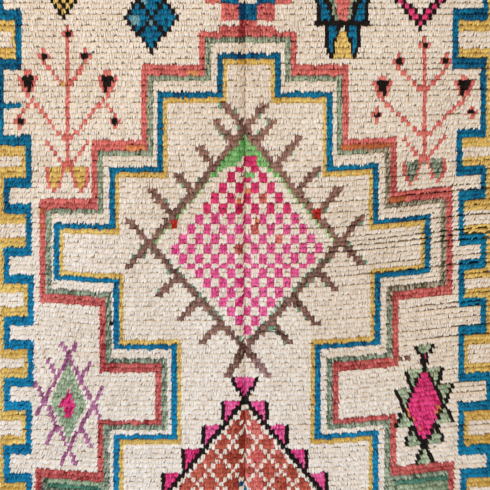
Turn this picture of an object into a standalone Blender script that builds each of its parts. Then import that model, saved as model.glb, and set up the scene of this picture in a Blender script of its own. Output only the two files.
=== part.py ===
"""Cut length of a hand-knotted wool pile rug, lying flat on a floor with its pile up.

The rug is one piece of cloth. Its rows of knots run along X and show as low ribs, each with a
steep side towards -Y, where the tufts lean over the row below. The rows bow upward at both
sides, a soft crease left by folding runs along Y through the middle, and the pile ends in small
locks all round the rim. The origin is on the floor under the middle of the rug.
"""
import bpy
import numpy as np

# Driving dimensions, in metres
WIDTH = 1.000            # over the locks, along the rows of knots
LENGTH = 1.000           # over the locks, across the rows of knots
PILE_TOP = 0.0140        # height of a row's crest above the floor
GROOVE = 0.0036          # depth of the groove between two rows
ROW_PITCH_TOP = 0.0109   # spacing of the rows towards +Y, where the pile is longest
ROW_PITCH_BOTTOM = 0.0092
NARROWS_FROM_Y = 0.300   # the rows get closer together from here down
NARROWS_OVER = 0.450
CREST_PLACE = 0.30       # place of the crest in its row, from the steep side
KNOT_PITCH = 0.0078      # spacing of the knots along a row
LOCK_DEPTH = 0.0045      # how far a lock stands out of the rim
LOCK_KNOTS = 2           # knots in one lock of the two rims that run along the rows
LOCK_TIP_PLACE = 0.65    # place of a lock's tip in its row at the other two rims
LOCK_NOTCH_PLACE = 0.12
TIP_UNEVENNESS = 0.30    # share of LOCK_DEPTH that a tip or a notch may fall short
NOTCH_UNEVENNESS = 0.40
RIM_DROOP = 0.0040       # how far the pile drops at the rim
RIM_REACH = 0.0140       # width of that drop
CREASE_DEPTH = 0.0028
CREASE_WIDTH = 0.0160
LUMP_HEIGHT = 0.0009     # slow rise and fall of the whole pile
KNOT_LUMP = 0.0006       # quick rise and fall along one row
COLUMNS = 18             # spans along X, closer together beside the crease
COLUMN_CROWDING = 1.30
OVERHANG = 0.010         # how far the ribbed slab runs past the outline that trims it
BOW_ROOM = 0.036         # further rows below, which bow up into the part at its sides
CUTTER_HEIGHT = 0.030
PILE_SEED = 7
RIM_SEED = 11

# Bow of the rows: how far a row rises at each side, where the rise starts along X and how long
# it runs, and the two heights on the rug between which it grows to its full size
BOW = (
    # side, rise, start_x, run, from_y, to_y
    (+1, 0.0304, 0.108, 0.431, 0.362, 0.069),
    (-1, 0.0088, 0.255, 0.157, 0.108, -0.108),
)

# Slow lumps of the pile: waves per metre along X and Y, phase and share of LUMP_HEIGHT
LUMPS = (
    # along_x, along_y, phase, share
    (1.3, 0.9, 0.4, 0.40),
    (-2.1, 2.7, 1.9, 0.30),
    (5.2, 1.7, 4.1, 0.20),
    (3.4, -6.3, 2.6, 0.10),
)

WOOL_COLOUR = (0.66, 0.56, 0.44, 1.0)
WOOL_ROUGHNESS = 0.95


def smooth(t):
    """The cubic 3t^2 - 2t^3 with t held between 0 and 1."""
    t = np.clip(t, 0.0, 1.0)
    return t * t * (3.0 - 2.0 * t)


def bow(x, y):
    """Rise of a row at x: rise * smooth(distance past start_x / run), growing down the rug."""
    total = np.zeros(np.broadcast(x, y).shape)
    for side, rise, start_x, run, from_y, to_y in BOW:
        past = (side * x - start_x) / run
        total = total + rise * smooth(past) * smooth((from_y - y) / (from_y - to_y))
    return total


def row_edges():
    """Y of the grooves in the middle of the rug, from top to bottom, as the pitch narrows."""
    edges = [LENGTH / 2 + OVERHANG]
    while edges[-1] > -LENGTH / 2 - OVERHANG - BOW_ROOM:
        narrowed = smooth((NARROWS_FROM_Y - edges[-1]) / NARROWS_OVER)
        pitch = ROW_PITCH_TOP + (ROW_PITCH_BOTTOM - ROW_PITCH_TOP) * narrowed
        edges.append(edges[-1] - pitch)
    return np.array(edges)


def row_lines():
    """Y of every groove and crest in the middle of the rug, and which of them are crests.

    A groove line is followed by the crest of the row below it, which stands CREST_PLACE of the
    pitch above the next groove.
    """
    edges = row_edges()
    crests = edges[1:] + CREST_PLACE * (edges[:-1] - edges[1:])
    lines = np.empty(2 * len(crests))
    lines[0::2] = edges[:-1]
    lines[1::2] = crests
    is_crest = np.arange(len(lines)) % 2 == 1
    return lines, is_crest


def column_lines():
    """X of the columns of points: sign(t) * |t| ** COLUMN_CROWDING over the half width."""
    t = np.linspace(-1.0, 1.0, COLUMNS + 1)
    return (WIDTH / 2 + OVERHANG) * np.sign(t) * np.abs(t) ** COLUMN_CROWDING


def pile_height(x, y, is_crest, random):
    """Height of the pile: crest or groove level, plus lumps, less the crease and the rim's drop."""
    level = np.where(is_crest, PILE_TOP, PILE_TOP - GROOVE)
    lumps = sum(
        share * np.sin(2.0 * np.pi * (along_x * x + along_y * y) + phase)
        for along_x, along_y, phase, share in LUMPS
    )
    crease = CREASE_DEPTH * np.exp(-((x / CREASE_WIDTH) ** 2))
    to_rim = np.minimum(WIDTH / 2 - np.abs(x), LENGTH / 2 - np.abs(y))
    droop = RIM_DROOP * smooth(1.0 - to_rim / RIM_REACH)
    quick = KNOT_LUMP * random.uniform(-1.0, 1.0, x.shape)
    return level + LUMP_HEIGHT * (lumps - 1.0) - crease - droop + quick


def slab_mesh():
    """Closed slab: the ribbed top as a grid of points, a flat bottom, and straight sides."""
    random = np.random.default_rng(PILE_SEED)
    lines, is_crest = row_lines()
    columns = column_lines()
    x, level_y = np.meshgrid(columns, lines)
    y = level_y + bow(x, level_y)
    z = pile_height(x, y, is_crest[:, None], random)
    count_y, count_x = x.shape
    top = np.arange(count_y * count_x).reshape(count_y, count_x)
    quads = np.stack((top[1:, :-1], top[1:, 1:], top[:-1, 1:], top[:-1, :-1]), axis=-1)
    rim = np.concatenate((top[0, :-1], top[:-1, -1], top[-1, :0:-1], top[:0:-1, 0]))
    foot = top.size + np.arange(len(rim))
    walls = np.stack((rim, np.roll(rim, -1), np.roll(foot, -1), foot), axis=-1)
    points = np.stack((x, y, z), axis=-1).reshape(-1, 3)
    feet = points[rim] * (1.0, 1.0, 0.0)
    faces = quads.reshape(-1, 4).tolist() + walls.tolist() + [foot.tolist()]
    mesh = bpy.data.meshes.new("pile_rug")
    mesh.from_pydata(np.concatenate((points, feet)).tolist(), [], faces)
    mesh.validate()
    return mesh


def zigzag(count, random):
    """Depths of the outline inside its box: about 0 at a lock's tip and LOCK_DEPTH between locks."""
    is_tip = np.arange(count) % 2 == 0
    short = random.uniform(0.0, 1.0, count)
    return LOCK_DEPTH * np.where(is_tip, TIP_UNEVENNESS * short, 1.0 - NOTCH_UNEVENNESS * short)


def rim_outline():
    """Outline seen from above: a lock for each row at the two sides, and for each pair of knots
    at the two rims that run along the rows, as one closed run of points."""
    random = np.random.default_rng(RIM_SEED)
    half_x, half_y = WIDTH / 2, LENGTH / 2
    locks = round(WIDTH / (LOCK_KNOTS * KNOT_PITCH))
    along = np.linspace(-half_x, half_x, 2 * locks + 2)[1:-1]
    top = np.stack((along, half_y - zigzag(len(along), random)), axis=-1)
    bottom = np.stack((along[::-1], zigzag(len(along), random) - half_y), axis=-1)
    grooves = row_edges()
    sides = []
    for side in (+1, -1):
        edges = grooves + bow(np.full_like(grooves, side * half_x), grooves)
        pitch = edges[:-1] - edges[1:]
        tips, notches = edges[1:] + LOCK_TIP_PLACE * pitch, edges[1:] + LOCK_NOTCH_PLACE * pitch
        heights = np.stack((tips, notches), axis=-1).ravel()
        reach = side * (half_x - zigzag(len(heights), random))
        inside = np.abs(heights) < half_y - LOCK_DEPTH
        sides.append(np.stack((reach, heights), axis=-1)[inside])
    right, left = sides
    outline = np.concatenate((top, right, bottom, left[::-1]))
    low, high = outline.min(axis=0), outline.max(axis=0)
    return outline * ((WIDTH, LENGTH) / (high - low)) - (low + high) / 2


def cutter_mesh():
    """Upright prism on the rim's outline, through the whole thickness of the slab."""
    outline = rim_outline()[::-1]
    count = len(outline)
    low = np.column_stack((outline, np.full(count, -CUTTER_HEIGHT / 2)))
    high = np.column_stack((outline, np.full(count, CUTTER_HEIGHT)))
    index = np.arange(count)
    following = np.roll(index, -1)
    walls = np.stack((index, following, following + count, index + count), axis=-1)
    faces = walls.tolist() + [index[::-1].tolist(), (index + count).tolist()]
    mesh = bpy.data.meshes.new("rim_cutter")
    mesh.from_pydata(np.concatenate((low, high)).tolist(), [], faces)
    return mesh


def wool_material():
    """Undyed wool, matt."""
    material = bpy.data.materials.new("pile_wool")
    material.use_nodes = True
    shader = material.node_tree.nodes["Principled BSDF"]
    shader.inputs["Base Color"].default_value = WOOL_COLOUR
    shader.inputs["Roughness"].default_value = WOOL_ROUGHNESS
    shader.inputs["Metallic"].default_value = 0.0
    return material


def link(name, mesh):
    """Put a mesh into the scene as an object of its own."""
    thing = bpy.data.objects.new(name, mesh)
    bpy.context.scene.collection.objects.link(thing)
    return thing


for leftover in list(bpy.data.objects):
    bpy.data.objects.remove(leftover)

rug = link("pile_rug", slab_mesh())
rug.data.materials.append(wool_material())
rim_cutter = link("rim_cutter", cutter_mesh())
rim_cutter.hide_render = True
rim_cutter.display_type = "WIRE"

trim = rug.modifiers.new("trim_to_rim", "BOOLEAN")
trim.operation = "INTERSECT"
trim.object = rim_cutter
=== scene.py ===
"""Looks of a cut length of hand-knotted Azilal rug, wool pile on a wool ground, lying face up.

The rug is built as it was made: the lie of its rows, the dyed wool, the pattern knot by knot, the
ground cloth, and then the tufts of every knot, leaning over the row below.
"""

import bpy
import numpy as np
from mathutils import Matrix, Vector


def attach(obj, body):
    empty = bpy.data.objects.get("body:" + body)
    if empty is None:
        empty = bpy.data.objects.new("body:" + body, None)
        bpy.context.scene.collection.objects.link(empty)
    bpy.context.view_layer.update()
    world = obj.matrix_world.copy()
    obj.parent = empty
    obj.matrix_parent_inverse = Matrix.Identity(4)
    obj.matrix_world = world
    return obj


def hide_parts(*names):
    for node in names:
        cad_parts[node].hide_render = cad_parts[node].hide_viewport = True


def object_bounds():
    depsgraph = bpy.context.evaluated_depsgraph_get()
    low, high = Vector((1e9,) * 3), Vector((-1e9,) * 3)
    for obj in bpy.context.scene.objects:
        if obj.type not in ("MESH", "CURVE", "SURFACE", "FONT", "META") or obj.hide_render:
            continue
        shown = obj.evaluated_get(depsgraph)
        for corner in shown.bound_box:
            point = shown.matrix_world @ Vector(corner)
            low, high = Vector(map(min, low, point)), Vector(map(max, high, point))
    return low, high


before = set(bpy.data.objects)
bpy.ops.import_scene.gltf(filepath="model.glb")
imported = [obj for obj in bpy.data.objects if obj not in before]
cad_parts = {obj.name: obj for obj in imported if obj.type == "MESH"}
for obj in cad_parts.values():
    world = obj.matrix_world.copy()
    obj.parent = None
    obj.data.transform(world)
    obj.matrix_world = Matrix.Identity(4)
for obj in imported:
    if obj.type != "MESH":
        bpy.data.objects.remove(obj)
cad_low, cad_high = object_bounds()


# The rows of knots. The weaver ties one row across the loom, beats it down on the last one and
# starts the next, so the rows are close but never quite even. Here they are closer towards -Y,
# and they bow up at both sides, more at the right, where the finished rug has stretched.

WIDTH = round(float(cad_high[0] - cad_low[0]), 3)
LENGTH = round(float(cad_high[1] - cad_low[1]), 3)
ROW_PITCH_TOP = 0.0109
ROW_PITCH_BOTTOM = 0.0092
NARROWS_FROM_Y = 0.300   # the rows get closer together from here down
NARROWS_OVER = 0.450
OVERHANG = 0.010         # the first row starts this far past the upper rim
BOW_ROOM = 0.036         # further rows below, which bow up into the rug at its sides
BOW = (
    # side, rise, start_x, run, from_y, to_y
    (+1, 0.0304, 0.108, 0.431, 0.362, 0.069),
    (-1, 0.0088, 0.255, 0.157, 0.108, -0.108),
)
ENDS = 256               # cut ends of yarn across the rug: each knot shows two, side by side
END_PITCH = WIDTH / ENDS


def smooth(t):
    """The cubic 3t^2 - 2t^3 with t held between 0 and 1."""
    t = np.clip(t, 0.0, 1.0)
    return t * t * (3.0 - 2.0 * t)


def bow(x, y):
    """Rise of a row at x: rise * smooth(distance past start_x / run), growing down the rug."""
    total = np.zeros(np.broadcast(x, y).shape)
    for side, rise, start_x, run, from_y, to_y in BOW:
        past = (side * x - start_x) / run
        total = total + rise * smooth(past) * smooth((from_y - y) / (from_y - to_y))
    return total


def row_edges():
    """Y of the grooves between the rows in the middle of the rug, as the pitch narrows."""
    edges = [LENGTH / 2 + OVERHANG]
    while edges[-1] > -LENGTH / 2 - OVERHANG - BOW_ROOM:
        narrowed = smooth((NARROWS_FROM_Y - edges[-1]) / NARROWS_OVER)
        pitch = ROW_PITCH_TOP + (ROW_PITCH_BOTTOM - ROW_PITCH_TOP) * narrowed
        edges.append(edges[-1] - pitch)
    return np.array(edges)


row_edge = row_edges()
row_pitch = row_edge[:-1] - row_edge[1:]
row_no, end_no = np.mgrid[0 : len(row_pitch), 0:ENDS]


# The wool. Handspun yarn, most of it undyed, the rest dyed in small lots at home, so that no two
# knots take the dye alike. Each yarn has the colour of its deepest and of its palest fibres.

YARNS = (
    # name, deep, pale, as screen red, green and blue
    ("cream", (224, 212, 199), (250, 247, 245)),
    ("coral", (142, 26, 36), (244, 140, 136)),
    ("sage", (58, 74, 60), (186, 204, 182)),
    ("khaki", (76, 70, 52), (206, 200, 180)),
    ("blue", (0, 48, 96), (20, 152, 204)),
    ("yellow", (196, 154, 62), (248, 222, 138)),
    ("brown", (80, 50, 44), (180, 142, 130)),
    ("pink", (210, 24, 116), (253, 128, 192)),
    ("crimson", (184, 8, 68), (250, 84, 152)),
    ("magenta", (180, 0, 80), (255, 84, 162)),
    ("black", (6, 3, 2), (40, 31, 27)),
    ("purple", (130, 54, 108), (216, 148, 196)),
    ("green", (92, 168, 90), (168, 228, 156)),
    ("teal", (32, 88, 76), (104, 160, 138)),
    ("jade", (70, 130, 104), (150, 204, 176)),
    ("mint", (104, 136, 104), (206, 222, 196)),
    ("terracotta", (152, 48, 38), (228, 126, 106)),
    ("red", (170, 24, 20), (220, 72, 58)),
    ("orange", (206, 102, 62), (246, 176, 120)),
    ("rust", (150, 66, 38), (220, 136, 88)),
    ("rose", (200, 80, 80), (246, 152, 144)),
    ("brick", (130, 40, 28), (206, 104, 80)),
    ("mauve", (112, 78, 80), (208, 176, 174)),
    ("sky", (62, 122, 146), (136, 188, 204)),
)
yarn_names = [name for name, deep, pale in YARNS]
chart = np.zeros(row_no.shape, dtype=int)      # yarn of every end, row by row from the top


def paint(yarn, where):
    """Ties the knots of a mask with one yarn."""
    chart[where] = yarn_names.index(yarn)


def tied_with(yarn):
    """Mask of the ends that one yarn is charted for so far."""
    return chart == yarn_names.index(yarn)


def block(row, rows, end, to_end):
    """Mask of an upright block: rows from row on, ends from end up to to_end."""
    return (row_no >= row) & (row_no < row + rows) & (end_no >= end) & (end_no < to_end)


def line(row, end, to_row, to_end, ends):
    """Mask of a slanting line: its middle moves evenly from end, on row, to to_end, on to_row."""
    share = (row_no - row) / (to_row - row)
    middle = end + share * (to_end - end)
    return (share >= 0) & (share <= 1) & (np.abs(end_no + 0.5 - middle) < ends / 2)


def tie_lots(lots, within=True):
    """Ties the blocks of a table, each a yarn and its place, as far as they lie in a mask."""
    for yarn, *place in lots:
        paint(yarn, block(*place) & within)


# The two borders. A blue line runs in and out like a key, two rows thick along the rug's width
# and a knot and a half thick along its length. A yellow line follows it on its outer side and
# fills the pockets, so that each pocket shows a cream bar between two yellow ones.

BAR_ROWS = 2
LINK_ENDS = 3
YELLOW_ENDS = 2
SPUR = (21, 1, 6, 16)    # a short stray bar in the left border
LEFT_KEY = (
    # bar_row, link from it to the next bar, in ends from the rug's side, yellow beside the link
    (-8, 4, 0),
    (4, 13, 1),
    (13, 4, 0),
    (27, 18, 1),
    (35, 7, 0),
    (40, 18, 0),
    (49, 7, 0),
    (55, 19, 1),
    (64, 7, 0),
    (69, 19, 1),
    (77, 7, 0),
    (82, 18, 1),
    (91, 7, 0),
    (97, 18, 1),
    (107, 7, 0),
    (120, 18, 0),
)
RIGHT_KEY = (
    (-8, 6, 0),
    (4, 21, 0),
    (13, 7, 0),
    (27, 19, 0),
    (35, 7, 0),
    (40, 18, 0),
    (49, 7, 0),
    (54, 18, 0),
    (62, 7, 0),
    (68, 18, 1),
    (78, 4, 0),
    (84, 18, 1),
    (93, 4, 0),
    (98, 17, 1),
    (107, 4, 0),
    (120, 18, 0),
)


def key_border(key, from_side):
    """Paints one border; from_side counts the ends from the rug's side."""

    def part(row, to_row, end, to_end):
        return (row_no >= row) & (row_no < to_row) & (from_side >= end) & (from_side < to_end)

    for (row, link, lined), (next_row, next_link, _) in zip(key, key[1:]):
        low = next_row + BAR_ROWS
        if link > next_link:
            outer = next_link - YELLOW_ENDS
            paint("yellow", part(row, low, outer, link))
            lining = YELLOW_ENDS if lined else 0
            bar = part(row + 2 * BAR_ROWS, next_row - BAR_ROWS, outer, link - lining)
            paint("cream", bar)
        else:
            paint("yellow", part(row, low, link - YELLOW_ENDS, link))
        paint("blue", part(row, low, link, link + LINK_ENDS))
    for (row, link, _), (next_row, next_link, _) in zip(key, key[1:]):
        first, last = sorted((link, next_link))
        paint("blue", part(next_row, next_row + BAR_ROWS, first, last + LINK_ENDS))


key_border(LEFT_KEY, end_no)
key_border(RIGHT_KEY, ENDS - 1 - end_no)
paint("blue", block(*SPUR))


# The stepped medallion. Two outlines climb the field in steps, coral with a sage line inside it
# and blue with a yellow line inside it. They were tied by eye, so the two sides differ by a knot.

CORAL_STEPS = (
    # row where it steps, left end, right end, rows in the bar of that step
    (8, 105, 154, 1),
    (14, 76, 180, 2),
    (28, 51, 204, 2),
    (39, 25, 232, 2),
    (61, 55, 205, 2),
    (75, 83, 175, 2),
    (85, 54, 204, 1),
    (96, 23, 233, 2),
)
BLUE_STEPS = (
    (12, 114, 146, 1),
    (19, 84, 172, 1),
    (33, 60, 195, 1),
    (44, 32, 221, 1),
    (56, 62, 196, 1),
    (70, 91, 166, 1),
    (88, 62, 195, 1),
)
OUTLINE_ENDS = 3
LAST_SAGE_ROWS = 3       # the lowest sage bar is broader than the others


def stepped_line(yarn, steps, ends):
    """Paints uprights at both sides of each step, and a bar wherever the width changes."""
    following = [*steps[1:], (len(row_pitch), 0, 0, 0)]
    for (row, left, right, _), (to_row, *_) in zip(steps, following):
        paint(yarn, block(row, to_row - row, left, left + ends))
        paint(yarn, block(row, to_row - row, right - ends, right))
    row, left, right, rows = steps[0]
    paint(yarn, block(row, rows, left, right))
    for (_, left, right, _), (row, to_left, to_right, rows) in zip(steps, steps[1:]):
        top = row if to_left < left else row - rows
        paint(yarn, block(top, rows, min(left, to_left), max(left, to_left) + ends))
        paint(yarn, block(top, rows, min(right, to_right) - ends, max(right, to_right)))


def inside(steps, ends):
    """The steps one band further in: the sides move in by ends, the bars by their own rows."""
    moved = []
    last_left = ENDS
    for row, left, right, rows in steps:
        down = rows if left < last_left else -rows
        moved.append((row + down, left + ends, right - ends, 1))
        last_left = left
    return moved


sage_steps = inside(CORAL_STEPS, OUTLINE_ENDS)
sage_steps[-1] = (*sage_steps[-1][:3], LAST_SAGE_ROWS)
stepped_line("sage", sage_steps, OUTLINE_ENDS)
stepped_line("coral", CORAL_STEPS, OUTLINE_ENDS)
stepped_line("yellow", inside(BLUE_STEPS, OUTLINE_ENDS), YELLOW_ENDS)
stepped_line("blue", BLUE_STEPS, OUTLINE_ENDS)

ODD_LOTS = (
    # yarn, row, rows, end, to_end: knots tied where a lot of coral or sage had run out
    ("orange", 15, 1, 99, 105),
    ("orange", 29, 1, 68, 78),
    ("rust", 41, 1, 25, 27),
    ("rust", 44, 1, 25, 27),
    ("rust", 29, 1, 176, 202),
    ("rust", 40, 1, 200, 209),
    ("black", 64, 1, 60, 62),
    ("mint", 98, 1, 29, 56),
    ("teal", 99, 1, 29, 56),
    ("teal", 99, 1, 204, 230),
    ("mint", 100, 2, 204, 230),
)
BROWNER_SAGE = (
    ("khaki", 30, 32, 190, ENDS),           # the sage line at the upper right
)
tie_lots(ODD_LOTS)
tie_lots(BROWNER_SAGE, tied_with("sage"))


# The blocks on the medallion's head: a stack of small squares in coral, blue and cream.

HEAD_BLOCKS = (
    # yarn, row, rows, end, to_end
    ("coral", 3, 3, 116, 125),
    ("blue", 3, 3, 125, 134),
    ("coral", 3, 3, 134, 143),
    ("coral", 6, 2, 125, 134),
    ("coral", 7, 2, 115, 143),
    ("blue", 0, 3, 116, 125),
    ("blue", 0, 3, 134, 143),
    ("coral", 0, 3, 143, 151),
    ("coral", 0, 3, 108, 116),
)
tie_lots(HEAD_BLOCKS)


# The checked lozenge. Brown lines cross at its four corners and run on, with barbs outside, like
# a ram's skull or a comb. Inside come a thin green line, a cream line and pink and cream checks.

MIDDLE_END = ENDS // 2


def crossed_lozenge(yarn, row, end, half_rows, half_ends, ends, run_on, barbs):
    """Paints four straight sides that each run on past both corners, and barbs at a right angle.

    A side moves half_ends over half_rows. A barb starts on the side at some rows from the middle
    row and runs outwards, away from the middle, by the same slant.
    """
    slant = half_ends / half_rows
    for side in (-1, +1):
        for way in (-1, +1):
            paint(yarn, line(row + way * (half_rows + run_on), end - side * slant * run_on,
                             row - way * run_on, end + side * (half_ends + slant * run_on), ends))
            for barb in barbs[way]:
                height, rows = barb[2:] if side > 0 else barb[:2]
                start = end + side * (half_ends - slant * height)
                tip = row + way * (height + rows)
                paint(yarn, line(row + way * height, start, tip, start + side * slant * rows,
                                 ends))


def lozenge_share(row, end, half_rows, half_ends):
    """Share of half_ends plus share of half_rows from a lozenge's middle, 1 on its outline."""
    return np.abs(end_no + 0.5 - end) / half_ends + np.abs(row_no - row) / half_rows


LOZENGE_ROW = 47.4
LOZENGE_HALF_ROWS = 22.0
LOZENGE_HALF_ENDS = 48.0
BROWN_ENDS = 4.4
BROWN_RUN_ON = 4.7       # rows that the lines run on past the corners
BROWN_BARBS = {
    # way up or down: rows from the middle row to the barb's foot and rows long, left then right
    -1: ((19.5, 4.5, 19.5, 4.5), (15.0, 4.0, 15.0, 5.5), (10.0, 4.0, 10.0, 5.0),
         (5.5, 5.0, 5.5, 5.5)),
    +1: ((6.5, 4.5, 5.5, 4.6), (11.5, 4.5, 11.2, 5.4), (16.5, 5.0, 16.2, 5.1)),
}
FOOT_SPACE = (70, 6, 110, 147)              # row, rows, end, to_end under the lower corner
LOZENGE_FEET = (
    # to_row, to_end: the lines run on below the lower corner more steeply than the sides
    (75.4, 119.0),
    (75.0, 139.0),
)
PALER_FOOT = (
    ("mauve", 72, 4, 132, 144),             # yarn, row, rows, end, to_end
)
GREEN_BANDS = (
    # to_row, ends of green inside the brown line
    (33, 8.0),
    (35, 3.0),
    (48, 1.0),
)
CHECK_TOP_ROW = 31
CHECK_ENDS = 4
CHECK_ROWS = (2, 1) + (2,) * 9 + (1,) + (2,) * 7          # rows in each line, from the top
CHECK_LEFT = 127                            # first end of the middle column of checks
CRIMSON_LINES = 6                           # the upper lines are tied in a deeper pink
CORAL_LINES = (3, 10)                       # in these lines, from a column on, some are coral
CORAL_FROM_COLUMN = -2
CORAL_SHARE = 0.16
LOZENGE_SEED = 3

reach = LOZENGE_HALF_ENDS * lozenge_share(LOZENGE_ROW, MIDDLE_END, LOZENGE_HALF_ROWS,
                                          LOZENGE_HALF_ENDS)
green_outer = LOZENGE_HALF_ENDS - BROWN_ENDS / 2
above = 0
for to_row, ends in GREEN_BANDS:
    upper = (row_no >= above) & (row_no < to_row)
    paint("green", upper & (reach < green_outer) & (reach >= green_outer - ends))
    above = to_row

check_line = np.searchsorted(np.cumsum(CHECK_ROWS), row_no - CHECK_TOP_ROW, side="right")
check_column = (end_no - CHECK_LEFT) // CHECK_ENDS
widest = len(CHECK_ROWS) // 2
in_lozenge = np.abs(check_column) <= widest - np.abs(check_line - widest)
in_lozenge &= row_no >= CHECK_TOP_ROW
is_check = in_lozenge & ((check_column + check_line) % 2 == 0)
random = np.random.default_rng(LOZENGE_SEED)
odd_check = random.random((len(CHECK_ROWS), 2 * len(CHECK_ROWS) + 1))
odd_check = odd_check[np.clip(check_line, 0, 2 * widest),
                      np.clip(check_column, -widest, widest) + widest]
reddish = (check_line >= CORAL_LINES[0]) & (check_line < CORAL_LINES[1])
reddish &= (check_column >= CORAL_FROM_COLUMN) & (odd_check < CORAL_SHARE)
paint("cream", in_lozenge)
paint("pink", is_check)
paint("crimson", is_check & (check_line < CRIMSON_LINES))
paint("coral", is_check & reddish)

crossed_lozenge("brown", LOZENGE_ROW, MIDDLE_END, LOZENGE_HALF_ROWS, LOZENGE_HALF_ENDS,
                BROWN_ENDS, BROWN_RUN_ON, BROWN_BARBS)
paint("cream", block(*FOOT_SPACE))
for to_row, to_end in LOZENGE_FEET:
    paint("brown", line(FOOT_SPACE[0] - 1, MIDDLE_END, to_row, to_end, BROWN_ENDS))
tie_lots(PALER_FOOT, tied_with("brown"))

SPECK_SHARE = 0.13       # share of the ends beside the brown lines that are tied in green
INNER_SPECK_SHARE = 0.5  # the same, along the inner edge of the lower sides
brown = tied_with("brown")
beside_brown = np.zeros_like(brown)
beside_brown[:, 1:-1] = brown[:, 2:] | brown[:, :-2]
beside_brown &= tied_with("cream")
speck = random.random(chart.shape)
paint("jade", beside_brown & (speck < SPECK_SHARE))
inner_edge = (reach < green_outer) & (reach >= green_outer - 1.0) & (row_no > LOZENGE_ROW)
paint("jade", beside_brown & inner_edge & (speck < INNER_SPECK_SHARE))

LOZENGE_ACCENTS = (
    # yarn, row, rows, end, to_end
    ("red", 43, 2, 91, 94),
    ("red", 41, 2, 162, 166),
    ("orange", 39, 1, 124, 126),
    ("orange", 43, 1, 133, 135),
    ("orange", 37, 1, 128, 131),
    ("crimson", 31, 2, 127, 134),
    ("green", 34, 1, 128, 133),
    ("jade", 65, 1, 140, 143),
)
tie_lots(LOZENGE_ACCENTS)


# The two flowering stems, left and right of the medallion's top. Each is one knot wide, with a
# flower on every branch and a pair of leaves at the foot.

LEFT_STEM_END = 39
RIGHT_STEM_END = 218
STEM_ENDS = 2
BRANCH_ENDS = 2.3
SMALL_FLOWER = (
    "..rr..",
    "rrkkkr",
    "..rr..",
)
LARGE_FLOWER = (
    "...rrrr...",
    "rrkkkkkkrr",
    ".rrkkkkrr.",
    "..rrrkkr..",
    "....rr....",
)
LEAF = (
    "rrllllllrr",
    "rrllllllr.",
    "rrlllllr..",
    ".rrlllrr..",
    "...rr.....",
)
LEFT_STEM = (
    # flower, its top row, ends from the stem, row where its branch joins, ends from the stem
    (SMALL_FLOWER, 7, 0, 10, 0),
    (SMALL_FLOWER, 11, -12, 18, 0),
    (SMALL_FLOWER, 11, 9, 18, 0),
    (LARGE_FLOWER, 15, -20, 28, 0),
    (LARGE_FLOWER, 15, 20, 28, 0),
    (SMALL_FLOWER, 23, -24, 20, -18),
    (SMALL_FLOWER, 23, 24, 20, 18),
)
RIGHT_STEM = (
    (SMALL_FLOWER, 9, 0, 12, 0),
    (SMALL_FLOWER, 12, -13, 19, 0),
    (SMALL_FLOWER, 12, 11, 19, 0),
    (LARGE_FLOWER, 16, -21, 28, 0),
    (LARGE_FLOWER, 16, 20, 28, 0),
    (SMALL_FLOWER, 22, -24, 21, -19),
    (SMALL_FLOWER, 22, 24, 21, 19),
)
FOOT_ROW = 33
FORK_ROW = 28
FORK_ENDS = 10
LEAF_GAP = 1
STRAY_YELLOW = (17, 1, 36, 38)              # a knot where the left stem's branches meet


def charted(lines, row, end, yarns, mirrored=False):
    """Paints a small motif from its chart, one letter an end, one line a row; a dot is bare."""
    for down, letters in enumerate(lines):
        for across, letter in enumerate(letters[::-1] if mirrored else letters):
            if letter in yarns:
                paint(yarns[letter], block(row + down, 1, end + across, end + across + 1))


def flowering_stem(middle, flowers, leaf_yarn):
    """Paints the branches, the flowers on them, the stem and the leaves at its foot."""
    yarns = {"r": "rose", "k": "black", "l": leaf_yarn}
    for flower, row, out, join_row, join_out in flowers:
        bud_row = row + len(flower) - 1 if join_row > row else row
        paint("rose", line(bud_row, middle + out, join_row, middle + join_out, BRANCH_ENDS))
    for flower, row, out, _, _ in flowers:
        charted(flower, row, middle + out - len(flower[0]) // 2, yarns, mirrored=out > 0)
    top = flowers[0][1] + len(SMALL_FLOWER)
    half = STEM_ENDS // 2
    paint("rose", block(top, FOOT_ROW - top, middle - half, middle + half))
    for side in (-1, +1):
        paint("rose", line(FORK_ROW, middle + side * FORK_ENDS, FOOT_ROW, middle, BRANCH_ENDS))
        left = middle - LEAF_GAP - len(LEAF[0]) if side < 0 else middle + LEAF_GAP
        charted(LEAF, FOOT_ROW, left, yarns, mirrored=side > 0)
    paint("rose", block(FOOT_ROW - 1, 1, middle - STEM_ENDS, middle + STEM_ENDS))
    paint(leaf_yarn, block(FOOT_ROW, 1, middle - half, middle + half))


flowering_stem(LEFT_STEM_END, LEFT_STEM, "yellow")
flowering_stem(RIGHT_STEM_END, RIGHT_STEM, "sage")
paint("yellow", block(*STRAY_YELLOW))


# The motifs cut by the top edge: a checked tip, a blue lozenge with a black lattice, a banded
# loom comb and a crimson chevron. Each is charted from its middle outwards and tied to match.

TIP_ROW = 5
TIP_END = 36
tip_knot = (end_no - TIP_END) // 2
in_tip = (np.abs(tip_knot) <= TIP_ROW - row_no) & (row_no <= TIP_ROW)
paint("yellow", in_tip)
paint("black", in_tip & ((tip_knot + row_no) % 2 == 1))

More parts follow.
